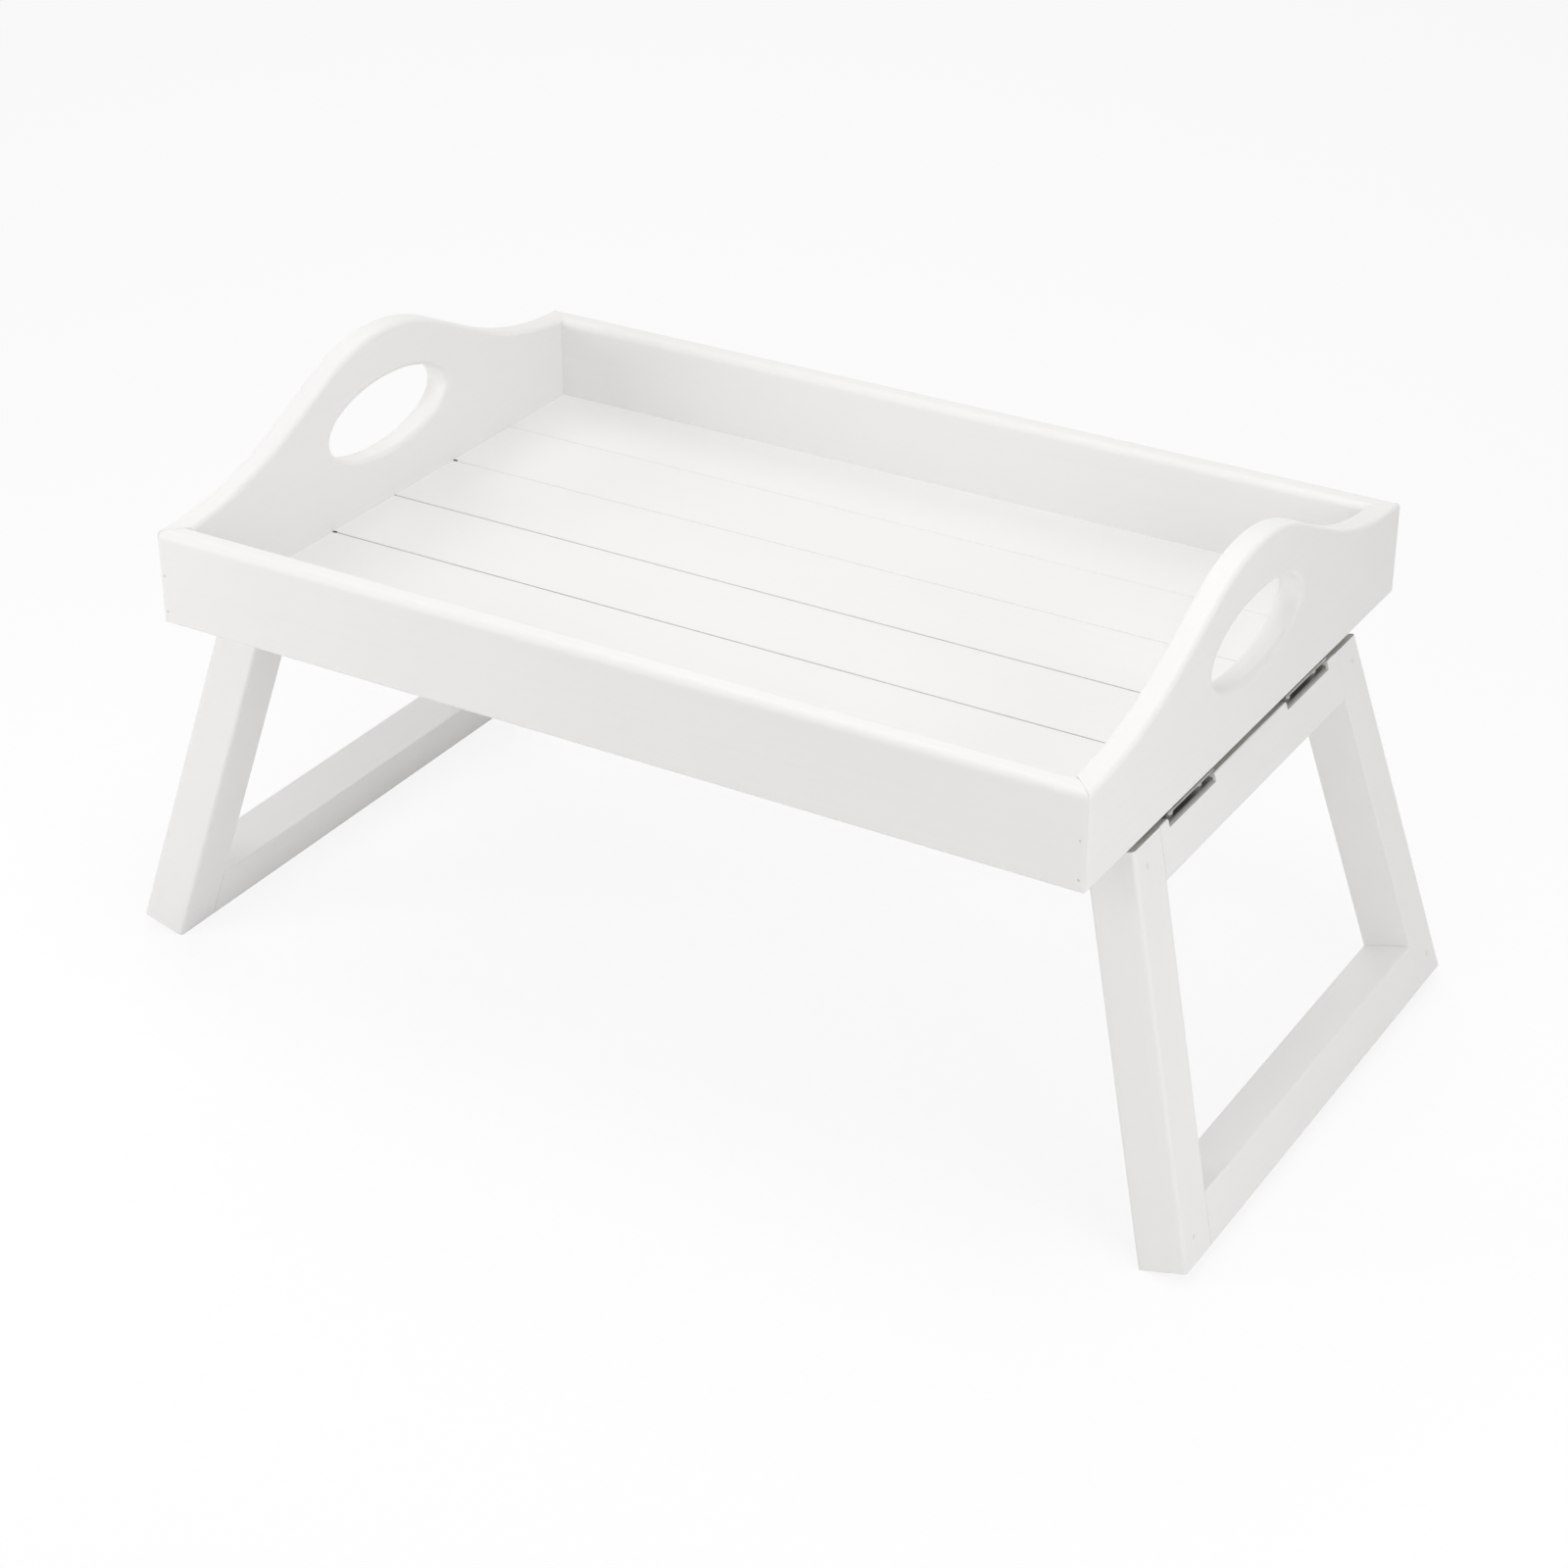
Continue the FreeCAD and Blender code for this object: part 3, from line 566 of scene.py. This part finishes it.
@dataclass(frozen=True)
class Lattice:
    """Where a repeated fastener goes: evenly spaced along three ways, then set in place.

    Attributes:
        counts: Copies along each way.
        pitches: The step of each way.
        place: Where the middle of the rows goes.
        tilt: The rows' turn about X, Y and Z.
        spin: The most that a copy is turned about its own axis.
        seed: The seed of those turns.
    """

    counts: tuple[int, int, int]
    pitches: tuple[Triple, Triple, Triple]
    place: Triple
    tilt: Triple = (0.0, 0.0, 0.0)
    spin: float = 0.0
    seed: int = 7

    def spots(self, sheet: NodeSheet, given: Any) -> bpy.types.NodeSocket:
        """The points of the three ways, with their middle at the origin.

        Args:
            sheet: The sheet that the nodes go in.
            given: The group's inputs.

        Returns:
            One point for each copy.
        """
        points = None
        for i in (1, 2, 3):
            back = (1.0 - Value(sheet, given[f"Count {i}"])) * 0.5
            start = sheet.node("ShaderNodeVectorMath", {"operation": "SCALE"},
                               {0: given[f"Pitch {i}"], "Scale": back}).outputs[0]
            line = sheet.node("GeometryNodeMeshLine", {"mode": "OFFSET"}, {
                "Count": given[f"Count {i}"], "Start Location": start,
                "Offset": given[f"Pitch {i}"]}).outputs[0]
            if points is None:
                points = line
                continue
            row = sheet.node("GeometryNodeInstanceOnPoints", None,
                             {"Points": line, "Instance": points}).outputs[0]
            points = sheet.node("GeometryNodeRealizeInstances", None, {0: row}).outputs[0]
        return points

    def build(self, unit: bpy.types.Mesh, finish: bpy.types.Material) -> bpy.types.Mesh:
        """Repeats one fastener.

        Args:
            unit: The fastener's mesh at the origin.
            finish: The material of every copy.

        Returns:
            One plain mesh with all copies.
        """
        tree = bpy.data.node_groups.new("fastener_rows", "GeometryNodeTree")
        sheet = NodeSheet(tree)
        values: dict[str, Any] = {}
        tree.interface.new_socket("Fastener", in_out="INPUT", socket_type="NodeSocketGeometry")
        for i, (count, pitch) in enumerate(zip(self.counts, self.pitches), start=1):
            values[f"Count {i}"] = ("NodeSocketInt", count)
            values[f"Pitch {i}"] = ("NodeSocketVector", pitch)
        values["Spin"] = ("NodeSocketFloat", self.spin)
        values["Seed"] = ("NodeSocketInt", self.seed)
        values["Tilt"] = ("NodeSocketVector", self.tilt)
        values["Place"] = ("NodeSocketVector", self.place)
        values["Finish"] = ("NodeSocketMaterial", finish)
        for name, (kind, _) in values.items():
            tree.interface.new_socket(name, in_out="INPUT", socket_type=kind)
        tree.interface.new_socket("Rows", in_out="OUTPUT", socket_type="NodeSocketGeometry")
        given = sheet.node("NodeGroupInput").outputs
        spots = self.spots(sheet, given)
        chance = sheet.node("FunctionNodeRandomValue", {"data_type": "FLOAT"}, {
            "Seed": given["Seed"]})
        share = Value(sheet, next(o for o in chance.outputs if o.enabled))
        angle = share * given["Spin"]
        turn = sheet.node("ShaderNodeCombineXYZ", None, {"Z": angle}).outputs[0]
        copies = sheet.node("GeometryNodeInstanceOnPoints", None, {
            "Points": spots, "Instance": given["Fastener"], "Rotation": turn}).outputs[0]
        solid = sheet.node("GeometryNodeRealizeInstances", None, {0: copies}).outputs[0]
        stood = sheet.node("GeometryNodeTransform", None, {
            "Geometry": solid, "Translation": given["Place"], "Rotation": given["Tilt"]})
        painted = sheet.node("GeometryNodeSetMaterial", None, {
            "Geometry": stood.outputs[0], "Material": given["Finish"]}).outputs[0]
        sheet.node("NodeGroupOutput", None, {0: painted})
        holder = add_object("holder", unit)
        rows = holder.modifiers.new("rows", "NODES")
        rows.node_group = tree
        for item in tree.interface.items_tree:
            if item.in_out == "INPUT" and item.name in values:
                rows[item.identifier] = values[item.name][1]
        mesh = applied_mesh(holder)
        holder.modifiers.remove(rows)
        bpy.data.objects.remove(holder)
        return mesh


def stand_for(node: str, meshes: list[bpy.types.Mesh], body: str) -> None:
    """Puts a detailed piece where a CAD group of fasteners is.

    Args:
        node: The CAD group that isn't shown any more.
        meshes: The parts of the new piece, in place.
        body: The body that it rides on.
    """
    shape = bmesh.new()
    for mesh in meshes:
        shape.from_mesh(mesh)
    joined = bpy.data.meshes.new(f"{node}_detail")
    shape.to_mesh(joined)
    shape.free()
    joined.materials.append(meshes[0].materials[0])
    piece = add_object(f"{node}_detail", joined)
    joined.shade_smooth()
    joined.set_sharp_from_angle(angle=SHARP_ANGLE)
    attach(piece, body)
    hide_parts(node)
    low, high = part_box(node)
    corners = [vertex.co for vertex in joined.vertices]
    drift = max(max(abs(min(c[k] for c in corners) - low[k]),
                    abs(max(c[k] for c in corners) - high[k])) for k in range(3))
    LOG.info("%s stands for %s, %d faces, box within %.2f mm", piece.name, node,
             len(joined.polygons), drift / MM)


# ------------------------------------------------------------------ sub-assemblies

@dataclass
class Tray:
    """The tray: two humped ends, two rails, six tongued boards and their nails."""

    underside: float
    boards: int = 6
    board_pitch: float = 314 / 6 * MM
    nail_run: float = 239.5 * MM
    nail_lift: float = 0.2 * MM
    nail_head: float = 1.4 * MM
    nail_head_depth: float = 0.8 * MM
    nail_shank: float = 0.7 * MM
    nail_point: float = 10.6 * MM
    nail_length: float = 12 * MM
    brad_run: float = 246.6 * MM
    brad_face: float = 169.7 * MM
    brad_low: float = 6.8 * MM
    brad_high: float = 26 * MM
    brad_radius: float = 0.6 * MM
    brad_length: float = 25 * MM
    seam_strengths: tuple[float, ...] = (0.8, 0.95, 0.85, 0.12, 0.02)
    # seams that get a near-black painted-shade spot at the tray's left end
    chipped_seams: tuple[int, ...] = (1, 3)

    def build(self) -> None:
        """Dresses the boards and makes the nails and brads."""
        for side in Side:
            finish = PaintedWood(f"paint_end_{side.word}", Run.CROSS,
                                 start=(0.0, 0.11 * side.sign, 0.0))
            dress(f"end_panel_{side.word}", finish.build())
        for name, shift in (("front", 0.0), ("rear", 0.7)):
            finish = PaintedWood(f"paint_rail_{name}", Run.LONG, start=(shift, 0.0, 0.0))
            dress(f"rail_{name}", finish.build())
        board = PaintedWood("paint_board", Run.LONG, paint=(0.875, 0.865, 0.858, 1.0),
                            shade=(0.840, 0.830, 0.820, 1.0), wear=0.0)
        lines = [Seam((i + 1 - self.boards / 2) * self.board_pitch, strength,
                      i in self.chipped_seams)
                 for i, strength in enumerate(self.seam_strengths)]
        for number in range(1, self.boards + 1):
            own = replace(board, name=f"paint_board_{number}",
                          start=(0.37 * number, 0.013 * number, 0.0),
                          seams=tuple(lines[max(0, number - 2):number]))
            dress(f"floor_board_{number}", own.build())
        self.nails()
        self.brads()

    def nails(self) -> None:
        """The floor nails, two to a board at each end, driven from below."""
        head, depth, shank = self.nail_head, self.nail_head_depth, self.nail_shank
        dish = [(0, 0.12 * MM), (shank, 0.05 * MM), (head - 0.1 * MM, 0), (head, 0.1 * MM)]
        unit = lathe(dish + [(head, depth), (shank, depth), (shank, self.nail_point),
                             (0, self.nail_length)], 14)
        rows = Lattice((2 * self.boards, 2, 1),
                       ((0, self.board_pitch / 2, 0), (2 * self.nail_run, 0, 0), (0, 0, 0)),
                       (0, 0, self.underside + self.nail_lift), spin=math.tau)
        stand_for("floor_nails", [rows.build(unit, NAIL_STEEL.build())], "tray")

    def brads(self) -> None:
        """The brads that pin each mitre, their heads punched just below the face; their steel is
        darkened as painted shade of the punched holes.
        """
        radius, length = self.brad_radius, self.brad_length
        unit = lathe([(0, 0.15 * MM), (0.35 * MM, 0.1 * MM), (radius, 0), (radius, length),
                      (0, length)], 12)
        unit.transform(Matrix.Rotation(-math.pi / 2, 4, "X"))
        unit.transform(Matrix.Translation((0, -self.brad_face, 0)))
        height = self.brad_high - self.brad_low
        # painted shade: the dark steel stands in for the shadow in the punched holes
        finish = BRAD_STEEL_PAINTED_SHADE.build()
        meshes = []
        for way in (1, -1):
            one = unit.copy()
            one.transform(Matrix.Rotation(0 if way > 0 else math.pi, 4, "Z"))
            rows = Lattice((2, 2, 1), ((2 * self.brad_run, 0, 0), (0, 0, height), (0, 0, 0)),
                           (0, 0, self.underside + (self.brad_low + self.brad_high) / 2))
            meshes.append(rows.build(one, finish))
        stand_for("corner_brads", meshes, "tray")


@dataclass
class Hinges:
    """Two butt hinges to each leg frame, with their pins and cross-headed screws."""

    underside: float
    screw_run: float = 245 * MM
    offset: float = 64 * MM
    spread: float = 15 * MM
    leaf: float = 1.4 * MM
    barrel: float = 6.5 * MM
    shank: float = 1.5 * MM
    length: float = 14 * MM
    head: float = 2.7 * MM
    head_rim: float = 0.6 * MM
    head_rise: float = 1.75 * MM
    cross_arm: float = 0.7 * MM

    def screw(self) -> bpy.types.Mesh:
        """One pan-headed screw with a cross, its head below the origin.

        Returns:
            The screw's mesh.
        """
        dome = [(self.head * math.cos(a),
                 -self.head_rim - (self.head_rise - self.head_rim) * math.sin(a))
                for a in (math.radians(d) for d in range(75, -1, -15))]
        blank = lathe([(0, -self.head_rise)] + dome + [(self.head, 0), (self.shank, 0),
                      (self.shank, self.length - 2 * self.shank), (0, self.length)], 24)
        return recess(blank, self.shank, self.cross_arm, -2 * self.head_rise,
                      -1.5 * self.head_rim)

    def build(self) -> None:
        """Dresses the leaves and pins and makes the screws."""
        steel = HINGE_STEEL.build()
        for side in Side:
            for end in ("front", "rear"):
                for piece in ("leaf_upper", "leaf_lower", "pin"):
                    dress(f"hinge_{piece}_{side.word}_{end}", steel)
        rows = ((0, 2 * self.spread, 0), (0, 2 * self.offset, 0))
        tray = Lattice((2, 2, 2), (*rows, (2 * self.screw_run, 0, 0)),
                       (0, 0, self.underside - self.leaf), spin=math.tau)
        stand_for("hinge_screws_tray", [tray.build(self.screw(), steel)], "tray")
        for side in Side:
            seat = self.underside - self.barrel + self.leaf
            own = Lattice((2, 2, 1), (*rows, (0, 0, 0)), (side.sign * self.screw_run, 0, seat),
                          tilt=(math.pi, 0, 0), spin=math.tau, seed=11 + side.sign)
            stand_for(f"hinge_screws_{side.word}", [own.build(self.screw(), steel)],
                      f"leg_frame_{side.word}")


@dataclass
class LegFrame:
    """A splayed frame: two flared legs, a top bar, a foot bar and the pegs of its joints."""

    side: Side
    underside: float
    splay: float = math.radians(15)
    gap: float = 2.5 * MM
    reach: float = 250 * MM
    flare: float = math.atan(29 / 195.2)
    peg_rows: tuple = ((114 * MM, 10.5 * MM), (139 * MM, 182.7 * MM))
    peg_radius: float = 1.1 * MM
    peg_length: float = 18 * MM
    peg_sink: float = 0.075 * MM
    peg_chamfer: float = 0.15 * MM
    peg_paint: tuple = (0.72, 0.71, 0.69, 1.0)

    def build(self) -> None:
        """Dresses the frame's pieces and makes its pegs."""
        word, sign = self.side.word, self.side.sign
        lean = -self.splay * sign
        upward = (-math.sin(self.splay) * sign, 0.0, math.cos(self.splay))
        # the upward faces of the legs and top bar lie in the gap under the tray and get painted
        # shade there
        for end, way in (("front", -1), ("rear", 1)):
            finish = PaintedWood(f"paint_leg_{word}_{end}", Run.UPRIGHT,
                                 tilt=(way * self.flare, lean, 0.0),
                                 start=(0.0, 0.0, 0.21 * way), covered=upward)
            dress(f"leg_{word}_{end}", finish.build())
        for name, shift, covered in (("top_bar", 0.05, upward), ("foot_bar", 0.4, None)):
            finish = PaintedWood(f"paint_{name}_{word}", Run.CROSS, tilt=(0.0, lean, 0.0),
                                 start=(0.0, shift * sign, 0.0), covered=covered)
            dress(f"{name}_{word}", finish.build())
        self.pegs()

    def pegs(self) -> None:
        """The painted pegs through the frame's four tenons."""
        radius, length, chamfer = self.peg_radius, self.peg_length, self.peg_chamfer
        unit = lathe([(0, 0), (radius, 0), (radius, length - chamfer),
                      (radius - chamfer, length), (0, length)], 16)
        unit.transform(Matrix.Rotation(math.pi / 2, 4, "Y"))
        finish = PaintedWood(f"paint_pegs_{self.side.word}", Run.LONG,
                             paint=self.peg_paint).build()
        meshes = []
        stand = Matrix.Rotation(self.side.turn, 4, "Z") @ Matrix.Rotation(-self.splay, 4, "Y")
        corner = Vector((self.side.sign * self.reach, 0, self.underside - self.gap))
        for half, down in self.peg_rows:
            spot = corner + stand @ Vector((-length - self.peg_sink, 0, -down))
            rows = Lattice((2, 1, 1), ((0, 2 * half, 0), (0, 0, 0), (0, 0, 0)), tuple(spot),
                           tilt=(0.0, -self.splay, self.side.turn))
            meshes.append(rows.build(unit, finish))
        stand_for(f"joint_pegs_{self.side.word}", meshes, f"leg_frame_{self.side.word}")


def face(thing: bpy.types.Object, place: Triple, target: Triple) -> None:
    """Puts a lamp or camera in place and turns it to a point.

    Args:
        thing: The lamp or camera.
        place: Where it goes.
        target: The point that it faces.
    """
    thing.location = place
    aim = Vector(target) - Vector(place)
    thing.rotation_euler = aim.to_track_quat("-Z", "Y").to_euler()


@dataclass(frozen=True)
class Lamp:
    """A square area lamp: where it hangs, its side in metres and its power in watts."""

    name: str
    place: Triple
    size: float
    power: float

    def build(self, target: Triple) -> None:
        """Hangs the lamp.

        Args:
            target: The point that it faces.
        """
        data = bpy.data.lights.new(self.name, "AREA")
        data.shape = "SQUARE"
        data.size = self.size
        data.energy = self.power
        face(add_object(self.name, data), self.place, target)


@dataclass
class Studio:
    """The pale floor, the soft light and the camera.

    Attributes:
        eye: The camera's place, which is the photograph's viewpoint.
        target: The point that it faces.
        lens: Its focal length in millimetres.
        clip: The nearest and farthest distance that it sees.
        lamps: The lamps.
        lamp_target: The point that they face.
        floor_half: Half the floor's length.
        floor_bounce: The floor's colour in the light that it throws back.
        floor_seen: Its colour to the camera.
        floor_glow: The share of plain white in what the camera sees of it.
        sky: The strength of the light from all round.
    """

    eye: Triple = (0.7766, -1.2921, 0.9427)
    target: Triple = (0.0, 0.0, 0.098)
    lens: float = 78.5
    clip: tuple[float, float] = (0.05, 50.0)
    lamps: tuple[Lamp, ...] = (Lamp("overhead", (0.15, -0.1, 1.15), 0.5, 2.9),
                               Lamp("right", (1.0, -0.5, 0.5), 0.5, 2.3),
                               Lamp("left", (-0.7, -0.75, 0.5), 0.4, 2.3),
                               Lamp("rear", (-1.0, 1.1, 1.9), 1.2, 7.0))
    lamp_target: Triple = (0.0, 0.0, 0.15)
    floor_half: float = 6.0
    floor_bounce: tuple = (0.95, 0.95, 0.95, 1.0)
    floor_seen: tuple = (0.98, 0.98, 0.98, 1.0)
    floor_glow: float = 0.82
    sky: float = 0.55

    def build(self) -> None:
        """Makes the floor, the world, the lamps and the camera."""
        self.floor()
        self.world()
        for lamp in self.lamps:
            lamp.build(self.lamp_target)
        self.camera()

    def white_rays(self, sheet: NodeSheet) -> Value:
        """1 for rays from the camera or from gloss or glass.

        Args:
            sheet: The sheet the Light Path node goes in.

        Returns:
            The test's result.
        """
        path = sheet.node("ShaderNodeLightPath").outputs
        seen = Value(sheet, path["Is Camera Ray"]).largest(path["Is Glossy Ray"])
        return seen.largest(path["Is Transmission Ray"])

    def floor(self) -> None:
        """A large flat floor that looks nearly white and keeps the shadow."""
        mesh = bpy.data.meshes.new("floor")
        half = self.floor_half
        mesh.from_pydata([(-half, -half, 0), (half, -half, 0), (half, half, 0),
                          (-half, half, 0)], [], [(0, 1, 2, 3)])
        ground = add_object("floor", mesh)
        material, sheet = bare_material("floor_white")
        colour = sheet.blend(self.white_rays(sheet), self.floor_bounce, self.floor_seen)
        lit = sheet.node("ShaderNodeBsdfDiffuse", None, {"Color": colour})
        white = sheet.node("ShaderNodeEmission", None, {"Strength": 1.0})
        share = self.white_rays(sheet) * self.floor_glow
        mixed = sheet.node("ShaderNodeMixShader", None,
                           {0: share, 1: lit.outputs[0], 2: white.outputs[0]})
        sheet.node("ShaderNodeOutputMaterial", None, {"Surface": mixed.outputs[0]})
        mesh.materials.append(material)

    def world(self) -> None:
        """Even light from all round, and plain white to the camera."""
        sky = bpy.data.worlds.new("studio_sky")
        sky.use_nodes = True
        bpy.context.scene.world = sky
        sheet = NodeSheet(sky.node_tree)
        strength = self.sky + self.white_rays(sheet) * (1.0 - self.sky)
        light = sheet.node("ShaderNodeBackground", None,
                           {"Color": (1, 1, 1, 1), "Strength": strength})
        sheet.node("ShaderNodeOutputWorld", None, {"Surface": light.outputs[0]})

    def camera(self) -> None:
        """The camera at the photograph's viewpoint, aimed so that the tray is centred."""
        data = bpy.data.cameras.new("camera")
        data.lens = self.lens
        data.sensor_width = 36.0
        data.clip_start, data.clip_end = self.clip
        camera = add_object("camera", data)
        face(camera, self.eye, self.target)
        bpy.context.scene.camera = camera


def main() -> None:
    """Builds the pieces in order."""
    logging.basicConfig(level=logging.INFO, format="%(name)s: %(message)s")
    bpy.context.scene.view_settings.view_transform = "Standard"
    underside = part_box("rail_front")[0].z
    Tray(underside).build()
    Hinges(underside).build()
    for side in Side:
        LegFrame(side, underside).build()
    Studio().build()


if __name__ == "__main__":
    main()
